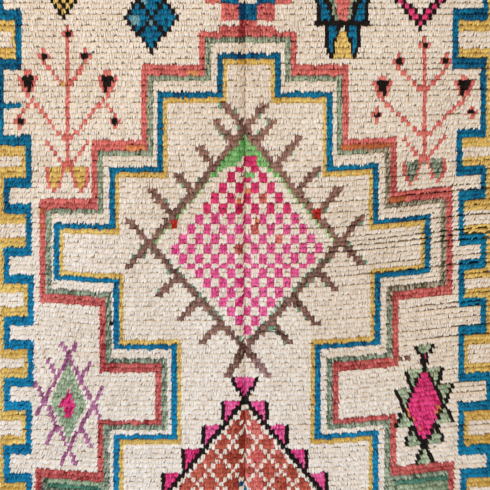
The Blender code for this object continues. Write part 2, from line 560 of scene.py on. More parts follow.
LATTICE_END = 81
LATTICE_TOP_ROW = -1
LATTICE = (
    "kk",
    "bkk",
    "bbbkk",
    "bbbbbkkk",
    "bbbkkkbbkk",
    "bkkbbbbbbbkk",
    "kbbbbbbbbbbbkk",
    "bkkbbbbbbbkk",
    "bbbkkkbbkk",
    "bbbbbkkk",
    "bbbkk",
    "bkk",
    "k",
)
COMB_END = 177
COMB_TOP_ROW = 0
COMB = (
    "cccccsssskkbkk",
    "cccccssskkkbkk",
    "ccccssskkkbbkk",
    "cccsskkkbbbkk",
    "cccsskkbbbbkk",
    "ccsskkbbbbbkk",
    "kkkkkkkkkkkkkk",
    "wkkbbbbkk",
    "yykbbbbkk",
    "yyykkbbkk",
    "yyyykbbkk",
    "yyyykbkk",
    "yyyyykk",
)
CHEVRON_END = 216
CHEVRON_TOP_ROW = 0
CHEVRON = (
    "wwwwwwwwwwwwkkxxkk",
    "wwwwwwwwwkkxxkk",
    "wwwwwwwkkxxkk",
    "wwwwkkxxkk",
    "wkkxxxkk",
    "kxxxkk",
    "xkk",
    "k",
)
MOTIF_YARNS = {"c": "coral", "s": "sage", "k": "black", "b": "blue", "y": "yellow",
               "w": "cream", "x": "crimson", "p": "magenta", "m": "mint", "n": "pink"}


def mirrored_motif(half_chart, top_row, middle):
    """Paints a motif from its half chart, each line from the middle outwards, and its mirror."""
    for down, letters in enumerate(half_chart):
        whole = letters[::-1] + letters
        charted((whole,), top_row + down, middle - len(letters), MOTIF_YARNS)


mirrored_motif(LATTICE, LATTICE_TOP_ROW, LATTICE_END)
mirrored_motif(COMB, COMB_TOP_ROW, COMB_END)
mirrored_motif(CHEVRON, CHEVRON_TOP_ROW, CHEVRON_END)

FADED_BLUE = (
    # yarn, row, rows, end, to_end
    ("sky", 5, 2, 70, 75),
    ("sky", 6, 1, 79, 82),
    ("sky", 2, 1, 76, 79),
)
tie_lots(FADED_BLUE, tied_with("blue"))


# The lozenge low at the right: magenta in a black outline two knots thick, with a pair of sage
# flags on each of its four sides and a sage triangle above and below. Charted from its middle.

FLAGGED_END = 218
FLAGGED_TOP_ROW = 71
FLAGGED = (
    "mmmkk",
    "mmkk",
    "kk",
    "kk",
    "k",
    "kmmmmmmmkk",
    "ppkmmmmkk",
    "pppkkmmkk",
    "ppppkmkk",
    "pppppkkmmmmmmkk",
    "ppppppkkmmmmkk",
    "pppppppkkmmkk",
    "ppppppppkmkk",
    "ppppppppkkk",
    "pppppppkkmmkk",
    "ppppppkkmmmmkk",
    "pppppkmmmmmmmkk",
    "ppppkkkk",
    "pppkkmkk",
    "pkkkmmmmkk",
    "kkmmmmmmkk",
    "kk",
    "mkk",
    "mmkk",
    "mmmkk",
)
FLAGGED_ACCENTS = (
    # yarn, row, rows, end, to_end
    ("pink", 73, 1, 218, 219),
    ("brown", 73, 1, 205, 207),
    ("brown", 73, 1, 208, 211),
    ("orange", 84, 1, 224, 226),
    ("orange", 85, 1, 223, 225),
    ("orange", 84, 1, 209, 210),
    ("orange", 85, 1, 210, 211),
    ("orange", 86, 1, 212, 213),
    ("orange", 88, 1, 215, 216),
)
mirrored_motif(FLAGGED, FLAGGED_TOP_ROW, FLAGGED_END)
tie_lots(FLAGGED_ACCENTS)


# The small lozenge low at the left, sage with a pink heart, in crossed purple lines with barbs.

PURPLE_ROW = 81.3
PURPLE_END = 39.7
PURPLE_HALF_ROWS = 9.7
PURPLE_HALF_ENDS = 12.2
PURPLE_ENDS = 2.0
PURPLE_RUN_ON = 3.3
PURPLE_BARBS = {-1: ((4.9, 3.8, 4.9, 3.8),), +1: ((4.9, 3.8, 4.9, 3.8),)}
PURPLE_FILLING = (
    # yarn, row, end, half_rows, half_ends
    ("mint", 81.3, 39.5, 8.4, 8.8),
    ("magenta", 81.8, 39.3, 3.1, 4.2),
)
crossed_lozenge("purple", PURPLE_ROW, PURPLE_END, PURPLE_HALF_ROWS, PURPLE_HALF_ENDS,
                PURPLE_ENDS, PURPLE_RUN_ON, PURPLE_BARBS)
for yarn, *shape in PURPLE_FILLING:
    paint(yarn, lozenge_share(*shape) < 1)


# The bottom medallion, cut by the lower edge: a black outline with a small pink head and pink
# teeth, and terracotta inside with a lattice of single cream knots.

PEAK_ROW = 80
PEAK_SLANT = 1.95        # ends that the outline moves out in each row
PEAK_LINE_ENDS = 3
PEAK_CREAM_ENDS = 2
LATTICE_EVERY = 12       # ends from one line of the lattice to the next
LATTICE_SLANT = 2        # ends that these lines move out in each row
LATTICE_ENDS = 2
TOOTH_TOP_ROW = 81
TOOTH_ROWS = 4
TOOTH_EVERY = 5
TOOTH_FIRST_END = 12
TOOTH_STEP_ENDS = 10
TOOTH_COUNT = 6
TOOTH_EDGE_ENDS = 2
MEDALLION_LOTS = (
    # yarn, row, rows, end, to_end: cells tied with another lot
    ("rose", 85, 4, 129, 138),
    ("rose", 91, 4, 129, 137),
    ("rose", 96, 4, 128, 137),
    ("rose", 88, 4, 141, 150),
    ("brick", 84, 4, 113, 121),
    ("brick", 87, 4, 123, 128),
    ("brick", 92, 4, 116, 124),
    ("brick", 96, 4, 117, 125),
    ("brick", 93, 4, 150, 158),
    ("blue", 98, 2, 125, 129),
)
HOT_FROM_TOOTH = 2       # from this tooth down, those at the left are tied in a hotter pink

from_middle = np.abs(end_no + 0.5 - MIDDLE_END)
outline = PEAK_SLANT * (row_no - PEAK_ROW)
for tooth in range(TOOTH_COUNT):
    top = TOOTH_TOP_ROW + tooth * TOOTH_EVERY
    far = TOOTH_FIRST_END + tooth * TOOTH_STEP_ENDS
    rows = (row_no >= top) & (row_no < top + TOOTH_ROWS)
    paint("black", rows & (from_middle < far) & (from_middle > outline))
    filled = rows & (from_middle < far - TOOTH_EDGE_ENDS) & (from_middle > outline)
    paint("pink", filled)
    if tooth >= HOT_FROM_TOOTH:
        paint("magenta", filled & (end_no < MIDDLE_END))
paint("black", (row_no >= PEAK_ROW) & (from_middle < outline + PEAK_LINE_ENDS / 2))
field = outline - PEAK_LINE_ENDS / 2
paint("cream", (row_no > PEAK_ROW) & (from_middle < field))
paint("terracotta", (row_no > PEAK_ROW) & (from_middle < field - PEAK_CREAM_ENDS))
tie_lots(MEDALLION_LOTS, from_middle < field - PEAK_CREAM_ENDS)
for way in (-1, +1):
    along_lattice = end_no + 1 - MIDDLE_END + way * LATTICE_SLANT * (row_no - PEAK_ROW)
    lattice = along_lattice % LATTICE_EVERY < LATTICE_ENDS
    paint("cream", lattice & (row_no > PEAK_ROW) & (from_middle < field))

PEAK_HEAD_TOP_ROW = 76
PEAK_HEAD = (
    "nnnnnkk",
    "nnnnkk",
    "nnkkk",
    "nkk",
    "kk",
)
mirrored_motif(PEAK_HEAD, PEAK_HEAD_TOP_ROW, MIDDLE_END)


# The ground cloth, which is all that holds the knots: a wool warp, with a few rows of weft beaten
# in between the rows of knots. On its underside every knot shows as a small bar of its colour,
# and it lies flat on the floor. On top the lower halves of the tufts stand packed into one bed,
# coloured darker as painted shade between the tufts.

FLOOR_GAP = 0.0002
GROUND_THICKNESS = 0.0034
GROUND_INSET = 0.0020
BED_HEIGHT = 0.0099
BED_SLOPE = 0.0030       # the bed rises to its height over this distance from the cloth's edge
BED_EDGE = 0.0015        # a ring of points this far inside the edge rounds it off
BED_SHIFT = 0.10         # the tufts seen at a place belong to the row this far below it, in rows
# Painted shade: the bed between the tufts takes a colour near the deep fibres, darkened by these
# tints
BED_PAINTED_SHADE_UNDYED = (0.68, 0.58, 0.45)
BED_PAINTED_SHADE_DYED = (0.47, 0.42, 0.40)
BED_DEPTH_OF_DYE = 0.15  # the bed's colour is this share of the way from deep fibres to pale ones
WOOL_SPECULAR = 0.06
WOOL_SHEEN = 0.04
WOOL_SHEEN_ROUGHNESS = 0.6
GROUND_ROUGHNESS = 0.95
KNOT_BACK_BUMP = 0.0008
KNOT_BACK_BUMP_STRENGTH = 0.8
KNOT_BACK_SHADE = 0.5
KNOT_BACK_RISE = (0.05, 0.60)               # a bar rises over this part of its wave
KNOT_BACK_WAVES = (
    # way on the map, bars per knot or per row, unevenness
    ("X", 2.0, 0.5),
    ("Y", 1.0, 0.4),
)
WAVE_LENGTH_AT_1 = 0.314159                # length of a wave texture's bands at a scale of one
CREASE_DEPTH = 0.0040    # of the fold along the rug's middle
CREASE_WIDTH = 0.0080
GAPE_SPREAD = 0.060      # reach of each of the places below
GAPE_SINKS = 0.0052      # how much lower the bed lies where the rows gape most
GAPE_PLACES = (
    # x, y, how far the rows gape
    (-0.30, 0.40, 0.1),
    (0.00, 0.40, 0.0),
    (0.30, 0.42, 0.2),
    (0.46, 0.42, 0.5),
    (-0.30, 0.20, 0.1),
    (0.04, 0.22, 0.0),
    (0.30, 0.22, 0.2),
    (0.46, 0.24, 0.5),
    (-0.30, 0.00, 0.0),
    (0.00, 0.02, 0.1),
    (0.14, 0.03, 0.5),
    (0.24, 0.12, 0.1),
    (0.36, 0.14, 0.2),
    (0.28, 0.01, 0.8),
    (0.37, 0.06, 1.0),
    (0.47, 0.05, 1.0),
    (0.20, -0.14, 0.0),
    (0.34, -0.06, 0.1),
    (0.43, -0.14, 0.8),
    (-0.30, -0.30, 0.0),
    (0.10, -0.30, 0.0),
    (0.30, -0.30, 0.1),
    (0.46, -0.34, 0.4),
)


def from_places(x, y, places, spread):
    """Mean of the values at places, each weighted by exp(-distance^2 / (2 spread^2))."""
    total = weight = 0.0
    for place_x, place_y, value in places:
        near = np.exp(-((x - place_x) ** 2 + (y - place_y) ** 2) / (2.0 * spread**2))
        total = total + near * value
        weight = weight + near
    return total / weight


def linear(colour):
    """Scene-linear colour of a screen colour from 0 to 255, by the screen's own curve."""
    share = np.asarray(colour, dtype=float) / 255.0
    low = share / 12.92
    return np.where(share <= 0.04045, low, ((share + 0.055) / 1.055) ** 2.4)


def put_mesh(name, points, corners, sizes):
    """Makes an object from an array of points, the corners of all its faces and their sizes."""
    mesh = bpy.data.meshes.new(name)
    mesh.vertices.add(len(points))
    mesh.vertices.foreach_set("co", np.ravel(points).astype(np.float32))
    mesh.loops.add(len(corners))
    mesh.loops.foreach_set("vertex_index", np.asarray(corners, dtype=np.int32))
    mesh.polygons.add(len(sizes))
    starts = np.concatenate(([0], np.cumsum(sizes)[:-1]))
    mesh.polygons.foreach_set("loop_start", starts.astype(np.int32))
    mesh.polygons.foreach_set("use_smooth", np.ones(len(sizes), dtype=bool))
    mesh.update(calc_edges=True)
    mesh.validate()
    piece = bpy.data.objects.new(name, mesh)
    bpy.context.scene.collection.objects.link(piece)
    return piece


def put_uv(piece, name, places):
    """Writes one place in the flat map for every corner of a face."""
    layer = piece.data.uv_layers.new(name=name)
    layer.data.foreach_set("uv", np.ravel(places).astype(np.float32))


def wool_nodes(name, roughness):
    """A new wool material, its shader, and two functions for its nodes.

    feed sets a node's inputs, by name or number, to constants or to the outputs given for them.
    add makes a node of one kind with some settings, feeds it and returns the named output.
    """
    material = bpy.data.materials.new(name)
    material.use_nodes = True
    tree = material.node_tree
    shader = tree.nodes["Principled BSDF"]

    def feed(node, inputs):
        for key, value in inputs.items():
            if isinstance(value, bpy.types.NodeSocket):
                tree.links.new(value, node.inputs[key])
            else:
                node.inputs[key].default_value = value

    def add(kind, output, inputs, **settings):
        node = tree.nodes.new(kind)
        for key, value in settings.items():
            setattr(node, key, value)
        feed(node, inputs)
        return node.outputs[output]

    feed(shader, {"Roughness": roughness, "Specular IOR Level": WOOL_SPECULAR,
                  "Sheen Weight": WOOL_SHEEN, "Sheen Roughness": WOOL_SHEEN_ROUGHNESS})
    return material, shader, feed, add


def eased(add, value, low, high):
    """A value from low to high as 0 to 1, slower at both ends."""
    return add("ShaderNodeMapRange", "Result", {"Value": value, "From Min": low, "From Max": high},
               interpolation_type="SMOOTHSTEP")


def ground_cloth():
    """Two grids, one cell to a knot and a row, joined round the rim.

    The lower one is flat. The upper one stands GROUND_THICKNESS above it at the rim and
    BED_HEIGHT inside, less the crease's depth * exp(-(x / width)^2) along the middle, and less
    up to GAPE_SINKS where the rows gape. The map counts knots across and rows down.
    """
    half_x, half_y = WIDTH / 2 - GROUND_INSET, LENGTH / 2 - GROUND_INSET
    knots = np.linspace(-WIDTH / 2, WIDTH / 2, ENDS // 2 + 1)[1:-1]
    rows = np.linspace(half_y, -half_y, len(row_pitch) + 1)[1:-1]
    lines_x = np.concatenate(([-half_x, BED_EDGE - half_x], knots, [half_x - BED_EDGE, half_x]))
    level = np.concatenate(([half_y, half_y - BED_EDGE], rows, [BED_EDGE - half_y, -half_y]))
    x, y = np.meshgrid(lines_x, level)
    count = x.size
    grid = np.arange(count).reshape(x.shape)
    under = np.stack((x, y, np.full_like(x, FLOOR_GAP)), axis=-1).reshape(-1, 3)
    to_rim = np.minimum(WIDTH / 2 - np.abs(x), LENGTH / 2 - np.abs(y)) - GROUND_INSET
    bed = smooth(to_rim / BED_SLOPE) * (BED_HEIGHT - GROUND_THICKNESS)
    bed -= CREASE_DEPTH * np.exp(-((x / CREASE_WIDTH) ** 2)) * (bed > CREASE_DEPTH)
    bed -= GAPE_SINKS * from_places(x, y, GAPE_PLACES, GAPE_SPREAD) * (bed > GAPE_SINKS)
    over = under + (0.0, 0.0, GROUND_THICKNESS)
    over[:, 2] += bed.ravel()
    up = np.stack((grid[1:, :-1], grid[1:, 1:], grid[:-1, 1:], grid[:-1, :-1]), axis=-1)
    top_faces = up.reshape(-1, 4) + count
    low_faces = up[..., ::-1].reshape(-1, 4)
    rim = np.concatenate((grid[0, :-1], grid[:-1, -1], grid[-1, :0:-1], grid[:0:-1, 0]))
    following = np.roll(rim, -1)
    walls = np.stack((rim, rim + count, following + count, following), axis=-1)
    faces = np.concatenate((low_faces, top_faces, walls[:, ::-1]))
    points = np.concatenate((under, over))
    piece = put_mesh("ground_cloth", points, faces.ravel(), np.full(len(faces), 4))
    rows_down = np.interp(bow(x, y) - y, -row_edge, np.arange(len(row_edge)))
    one_map = np.stack((x / (2.0 * END_PITCH), rows_down), axis=-1).reshape(-1, 2)
    put_uv(piece, "knots", np.tile(one_map, (2, 1))[faces])
    middle_x, middle_y = points[faces].mean(axis=1)[:, :2].T
    level_y = middle_y - bow(middle_x, middle_y)
    level_y[len(low_faces):] -= BED_SHIFT * row_pitch.mean()
    row = np.clip(np.searchsorted(-row_edge, -level_y) - 1, 0, len(row_pitch) - 1)
    end = np.clip(((middle_x + WIDTH / 2) / END_PITCH).astype(int), 0, ENDS - 1)
    backs = np.array([linear((np.array(deep) + pale) / 2) for name, deep, pale in YARNS])
    # the bed's colours carry painted shade
    shaded_bed_colours = np.array([
        linear(np.array(deep) + BED_DEPTH_OF_DYE * (np.array(pale) - deep))
        * (BED_PAINTED_SHADE_UNDYED if name == "cream" else BED_PAINTED_SHADE_DYED) for name, deep, pale in YARNS
    ])
    is_back = np.arange(len(faces)) < len(low_faces)
    yarn = chart[row, end]
    by_face = np.where(is_back[:, None], backs[yarn], shaded_bed_colours[yarn])
    colour = np.column_stack((np.repeat(by_face, 4, axis=0), np.ones(4 * len(faces))))
    layer = piece.data.attributes.new("knot_colour", "FLOAT_COLOR", "CORNER")
    layer.data.foreach_set("color", colour.ravel().astype(np.float32))
    return piece


def ground_material():
    """The knots' own colours, with two low bars to a knot, which are its turns round two warps.

    Between the bars and between the rows the colour is darkened as painted shade: a wave along
    the rows times one across them, both broadened.
    """
    material, shader, feed, add = wool_nodes("ground_wool", GROUND_ROUGHNESS)
    colour = add("ShaderNodeAttribute", "Color", {}, attribute_name="knot_colour")
    place = add("ShaderNodeUVMap", "UV", {}, uv_map="knots")
    bars = []
    for way, per_unit, uneven in KNOT_BACK_WAVES:
        wave = add("ShaderNodeTexWave", "Fac",
                   {"Vector": place, "Scale": per_unit * WAVE_LENGTH_AT_1, "Distortion": uneven,
                    "Detail": 1.0, "Phase Offset": -np.pi / 2.0},
                   wave_type="BANDS", bands_direction=way)
        bars.append(eased(add, wave, *KNOT_BACK_RISE))
    both = add("ShaderNodeMath", "Value", dict(enumerate(bars)), operation="MULTIPLY")
    # painted shade in the hollows between the bars
    shaded = add("ShaderNodeMix", "Result", {"Factor": KNOT_BACK_SHADE, "A": colour, "B": both},
                 data_type="RGBA", blend_type="MULTIPLY")
    bump = add("ShaderNodeBump", "Normal", {"Height": both, "Strength": KNOT_BACK_BUMP_STRENGTH,
                                            "Distance": KNOT_BACK_BUMP})
    feed(shader, {"Base Color": shaded, "Normal": bump})
    return material


ground = ground_cloth()
ground.data.materials.append(ground_material())
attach(ground, "root")
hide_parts("pile_rug")


# The pile. Each knot is a length of wool round two warps, cut so that its two ends stand up as
# soft tufts. Worn and folded, they lean down over the row below, and at the left and the right
# of the rug sideways too. They part along the fold through the rug's middle.

ROOT_HEIGHT = 0.0028     # tufts start inside the ground cloth
ROOT_PLACES = (
    # y, how far above its row's upper groove a tuft starts, in pitches
    (-0.42, 0.00),
    (-0.30, 0.36),
    (0.18, 0.44),
    (0.30, 0.06),
    (0.42, -0.04),
)
STRANDS = 2              # a cut end shows two strands of its yarn, side by side
STRAND_RISE = 0.0095     # from the root to the highest place of the strand
STRAND_HALF_WIDTH = 0.00205
STRAND_HALF_DEPTH = 0.00150
STRAND_TWIST = 0.7       # turn from root to tip, in radians
RING_ALONG = np.array([0.0, 0.44, 0.90, 1.0])    # three rings and the tip, along the strand
RING_SIDE = np.array([0.0, 0.18, 0.82, 1.0])     # share of the sideways lean
RING_DOWN = np.array([0.0, 0.28, 0.84, 1.0])     # share of the lean down the rug
RING_UP = np.array([0.0, 0.88, 1.0, 0.84])       # share of the rise
RING_HANG = np.array([0.0, 0.05, 0.6, 1.0])      # share of the droop over the rim
RING_GIRTH = np.array([0.95, 1.05, 0.92])
FOOT_ON_MAP = ((0.6, -0.10), (0.4, -0.10), (0.5, -0.03))     # the flat foot's three corners
BAKED_FROM = (0.08, 0.16)                        # a strand's share of its cell on the baked map
BAKED_SPAN = (0.84, 0.76)
CORNERS = 3
STRAND_POINTS = len(RING_GIRTH) * CORNERS + 1
LEAN_PLACES = (
    # x, y, lean to the side
    (-0.46, 0.44, 0.0040),
    (-0.30, 0.42, 0.0014),
    (-0.12, 0.42, 0.0004),
    (0.08, 0.42, -0.0006),
    (0.28, 0.42, -0.0004),
    (0.46, 0.44, -0.0036),
    (-0.46, 0.26, -0.0008),
    (-0.26, 0.24, 0.0004),
    (-0.06, 0.24, -0.0004),
    (0.16, 0.24, -0.0010),
    (0.34, 0.24, -0.0020),
    (0.46, 0.24, -0.0036),
    (-0.44, 0.04, -0.0040),
    (-0.24, 0.06, -0.0016),
    (0.00, 0.06, -0.0006),
    (0.22, 0.04, -0.0030),
    (0.36, 0.07, -0.0056),
    (0.47, 0.05, -0.0064),
    (-0.44, -0.14, -0.0036),
    (-0.24, -0.14, -0.0018),
    (-0.02, -0.16, -0.0006),
    (0.18, -0.16, 0.0010),
    (0.31, -0.18, 0.0050),
    (0.44, -0.16, -0.0050),
    (-0.44, -0.36, -0.0050),
    (-0.24, -0.36, -0.0034),
    (-0.04, -0.38, -0.0008),
    (0.18, -0.36, 0.0016),
    (0.34, -0.36, 0.0046),
    (0.46, -0.40, 0.0060),
)
LEAN_SPREAD = 0.070
LEAN_DOWN = 1.44         # how far down the rug a tuft leans, in pitches of its row
SIDE_BACK = 0.58         # roots stand back by this share of the sideways lean
GAPE = 0.90              # where rows gape, some lean less by up to this share
GAPE_IN_TURNS = 0.7      # and they do so more and less in turns along the row
UNEVEN_LEAN = 0.11       # these differ from strand to strand, the turn in radians
UNEVEN_SIDE = 0.00090
UNEVEN_RISE = 0.05
UNEVEN_GIRTH = 0.08
UNEVEN_TURN = 0.6
LUMP_HEIGHT = 0.0005
FOLD_GAP = 0.0024        # the tufts in the fold itself stay low
PARTING_LEAN = 0.0042
PARTING_WIDTH = 0.0090
SIDE_ROOM = 0.018        # the sideways lean fades out this far inside the rim
RIM_TOP = 0.0024         # roots stand at least this far inside the upper rim
RIM_TUCK = 0.0085        # a row that would start further past the rim than this is left off
RIM_BOTTOM = 0.0125      # at the lower rim roots stand back by this, and tips hang over
RIM_HANG = 0.0062        # how far the outermost tips droop
RIM_HANG_FROM = 0.0080   # tips this far inside the lower rim start to droop
RIM_HANG_OVER = 0.0100   # and droop fully this much further out
SIDE_HANG_FROM = 0.0060  # roots this near the sides start to droop and to lean out
SIDE_LEAN_OUT = 0.0026   # the outermost tufts lean out by this
PILE_SEED = 5
CREAM_BANDS = 4          # the undyed pile is joined into this many pieces
SLOW_WAVES = (
    # waves per metre along x and y, phase, share
    (1.3, 0.9, 0.4, 0.40),
    (-2.1, 2.7, 1.9, 0.30),
    (5.2, 1.7, 4.1, 0.20),
    (3.4, -6.3, 2.6, 0.10),
)
ROW_WANDER = 0.0009
WANDER_WAVES = ((3.0, 0.5), (7.0, 0.3), (17.0, 0.2))       # waves per metre of the row, share
ROW_BREAK = 0.13         # rows reach further and less far in turns, which breaks up their shadows
BREAK_WAVES = ((23.0, 1 / 1.7), (41.0, 1 / 1.7), (67.0, 1 / 1.7))


def waves(x, y, table):
    """Sum of share * sin(2 pi (along_x x + along_y y) + phase)."""
    return sum(share * np.sin(2.0 * np.pi * (along_x * x + along_y * y) + phase)
               for along_x, along_y, phase, share in table)


def row_waves(table):
    """Sum of share * sin(2 pi along x + phase), with a phase drawn for every row."""
    total = np.zeros(yarn_no.shape)
    for along, share in table:
        phase = random.uniform(0.0, 2.0 * np.pi, (len(row_pitch), 1))
        total += share * np.sin(2.0 * np.pi * along * along_x + phase)
    return total


random = np.random.default_rng(PILE_SEED)
yarn_no = np.repeat(chart, STRANDS, axis=1)
row_no, strand_no = np.mgrid[0 : len(row_pitch), 0 : STRANDS * ENDS]
knot_no = strand_no // (2 * STRANDS)
along_x = (strand_no + 0.5) * END_PITCH / STRANDS - WIDTH / 2
root_place = np.interp(row_edge[:-1, None], *np.transpose(ROOT_PLACES))
level_y = row_edge[:-1, None] + root_place * row_pitch[:, None]
wander = row_waves(WANDER_WAVES)
broken = row_waves(BREAK_WAVES)
root_y = level_y + bow(along_x, level_y) + ROW_WANDER * wander
lean_x = from_places(along_x, root_y, LEAN_PLACES, LEAN_SPREAD)
gape = from_places(along_x, root_y, GAPE_PLACES, GAPE_SPREAD)
parting = np.exp(-((along_x / PARTING_WIDTH) ** 2))
lean_x += PARTING_LEAN * parting * np.sign(along_x)
lean_x *= smooth((WIDTH / 2 - np.abs(along_x)) / SIDE_ROOM)
root_x = along_x - SIDE_BACK * lean_x
strand_random = random.normal(0.0, 1.0, (5,) + yarn_no.shape)
row_random = random.uniform(0.0, 1.0, (len(row_pitch), 1))
lean_y = 1.0 + UNEVEN_LEAN * strand_random[0] + ROW_BREAK * broken
lean_y *= 1.0 - GAPE * gape * row_random**2 * np.clip(GAPE_IN_TURNS * (1.0 + broken), 0.0, 1.0)
lean_y *= -LEAN_DOWN * row_pitch[:, None]
lean_x += UNEVEN_SIDE * strand_random[1]
rise = STRAND_RISE * (1.0 + UNEVEN_RISE * strand_random[2])
rise += LUMP_HEIGHT * waves(along_x, root_y, SLOW_WAVES)
rise -= CREASE_DEPTH / 2 * np.exp(-((along_x / CREASE_WIDTH) ** 2))
rise -= CREASE_DEPTH * np.exp(-((along_x / FOLD_GAP) ** 2))
girth = 1.0 + UNEVEN_GIRTH * strand_random[3]
turn = UNEVEN_TURN * strand_random[4]

# Roots past the upper rim stand back inside it, and their tips stay where they are. At the lower
# rim root and tip stand back together. The outermost tips droop, and lean out at the two sides.
past_rim = np.maximum(root_y - (LENGTH / 2 - RIM_TOP), 0.0)
root_y -= past_rim
lean_y += past_rim
past_low = np.maximum(RIM_BOTTOM - LENGTH / 2 - root_y, 0.0)
root_y += past_low
to_low = root_y + lean_y + LENGTH / 2
outermost = smooth(1.0 - (WIDTH / 2 - np.abs(along_x)) / SIDE_HANG_FROM)
lean_x += SIDE_LEAN_OUT * outermost * np.sign(along_x)
hang = RIM_HANG * np.maximum(smooth((RIM_HANG_FROM - to_low) / RIM_HANG_OVER), outermost)

MIDDLE_SHADE = 0.52
UNEVEN_DYE = 0.07        # from knot to knot, then from strand to strand, row to row and slowly
UNEVEN_DYE_STRAND = 0.15
UNEVEN_DYE_ROW = 0.05
UNEVEN_DYE_SLOW = 0.16
PALER_UPWARDS = {"coral": 0.14, "blue": -0.12, "brown": 0.30, "sage": 0.08, "black": 0.0,
                 "yellow": 0.12}
PALER_AS_A_RULE = 0.05
MARLED = {"sage": 0.24, "khaki": 0.30, "magenta": 0.30, "pink": 0.10}      # of mixed wool
FOLD_PAINTED_SHADE = 0.5         # painted shade on the left flank of the fold, which faces away from the light
FOLD_PAINTED_SHADE_X = -0.007
FOLD_PAINTED_SHADE_WIDTH = 0.007
SHADE_WAVES = (
    # waves per metre along x and y, phase, share
    (2.3, -1.1, 0.9, 0.5),
    (6.1, 4.0, 2.2, 0.3),
    (-11.0, 9.0, 5.0, 0.2),
)
# Yellowing of the wool, and painted shade: the same tint also darkens the cream near the right
# edge and where the rows gape
YELLOWING_AND_SHADE_SPREAD = 0.11
YELLOW_UNEVEN = 0.12
YELLOWING_AND_SHADE_PLACES = (
    # x, y, how far the wool has yellowed; near the right edge and where the rows gape this is
    # painted shade
    (-0.40, 0.45, 1.65),
    (0.00, 0.45, 1.25),
    (0.40, 0.45, 1.50),
    (-0.45, 0.15, 0.90),
    (0.00, 0.15, 0.85),
    (0.30, 0.20, 1.10),
    (0.47, 0.10, 1.25),
    (-0.40, -0.10, 0.30),
    (-0.10, -0.20, 0.30),
    (0.30, -0.05, 0.80),
    (0.47, -0.20, 1.40),
    (-0.35, -0.42, 0.00),
    (0.00, -0.42, 0.10),
    (0.28, -0.40, 0.25),
    (0.45, -0.45, 0.70),
)
# yellowing of the wool, with painted shade at the right edge and where the rows gape
yellowing_and_shade = from_places(along_x, root_y, YELLOWING_AND_SHADE_PLACES, YELLOWING_AND_SHADE_SPREAD)
yellowing_and_shade += YELLOW_UNEVEN * strand_random[4]

knot_dye = random.normal(0.0, 1.0, (len(row_pitch), ENDS // 2))
shade = MIDDLE_SHADE + UNEVEN_DYE * knot_dye[row_no, knot_no]
shade += UNEVEN_DYE_STRAND * random.normal(0.0, 1.0, yarn_no.shape)
shade += random.normal(0.0, UNEVEN_DYE_ROW, (len(row_pitch), 1))
shade += UNEVEN_DYE_SLOW * waves(along_x, root_y, SHADE_WAVES)
upwards = np.array([PALER_UPWARDS.get(name, PALER_AS_A_RULE) for name in yarn_names])
marled = np.array([MARLED.get(name, 0.0) for name in yarn_names])
shade += upwards[yarn_no] * root_y / (LENGTH / 2)
shade += marled[yarn_no] * random.normal(0.0, 1.0, yarn_no.shape)
# painted shade: the fold's left flank takes deeper dye
shade -= FOLD_PAINTED_SHADE * np.exp(-(((along_x - FOLD_PAINTED_SHADE_X) / FOLD_PAINTED_SHADE_WIDTH) ** 2))
shade = np.clip(shade, 0.0, 1.0)

on_cloth = (past_rim < RIM_TUCK) & (past_low < RIM_TUCK)


def strand_faces():
    """Corners of one strand's faces: rings joined by four-sided faces, a point and a flat foot."""
    ring = np.arange(CORNERS)
    following = (ring + 1) % CORNERS
    rings = len(RING_GIRTH)
    sides = [np.stack((ring + CORNERS * i, following + CORNERS * i,
                       following + CORNERS * (i + 1), ring + CORNERS * (i + 1)), axis=-1)
             for i in range(rings - 1)]
    last = CORNERS * (rings - 1)
    tip = np.stack((ring + last, following + last, np.full(CORNERS, STRAND_POINTS - 1)), axis=-1)
    corners = np.concatenate([np.concatenate(sides).ravel(), tip.ravel(), ring[::-1]])
    sizes = np.array([4] * CORNERS * (rings - 1) + [3] * CORNERS + [CORNERS])
    return corners, sizes


def strand_map():
    """Place of each face corner on the yarn: round it from 0 to 1, along it from 0 to 1."""
    ring = np.arange(CORNERS) / CORNERS
    following = ring + 1.0 / CORNERS
    sides = [np.stack((np.stack((ring, following, following, ring), axis=-1),
                       np.broadcast_to([low, low, high, high], (CORNERS, 4))), axis=-1)
             for low, high in zip(RING_ALONG[:-2], RING_ALONG[1:-1])]
    last = RING_ALONG[-2]
    tip = np.stack((np.stack((ring, following, (ring + following) / 2), axis=-1),
                    np.broadcast_to([last, last, 1.0], (CORNERS, 3))), axis=-1)
    return np.concatenate([side.reshape(-1, 2) for side in sides]
                          + [tip.reshape(-1, 2), np.array(FOOT_ON_MAP)])


def put_values(piece, label, values):
    """Writes one number for every point."""
    layer = piece.data.attributes.new(label, "FLOAT", "POINT")
    layer.data.foreach_set("value", np.ravel(values).astype(np.float32))


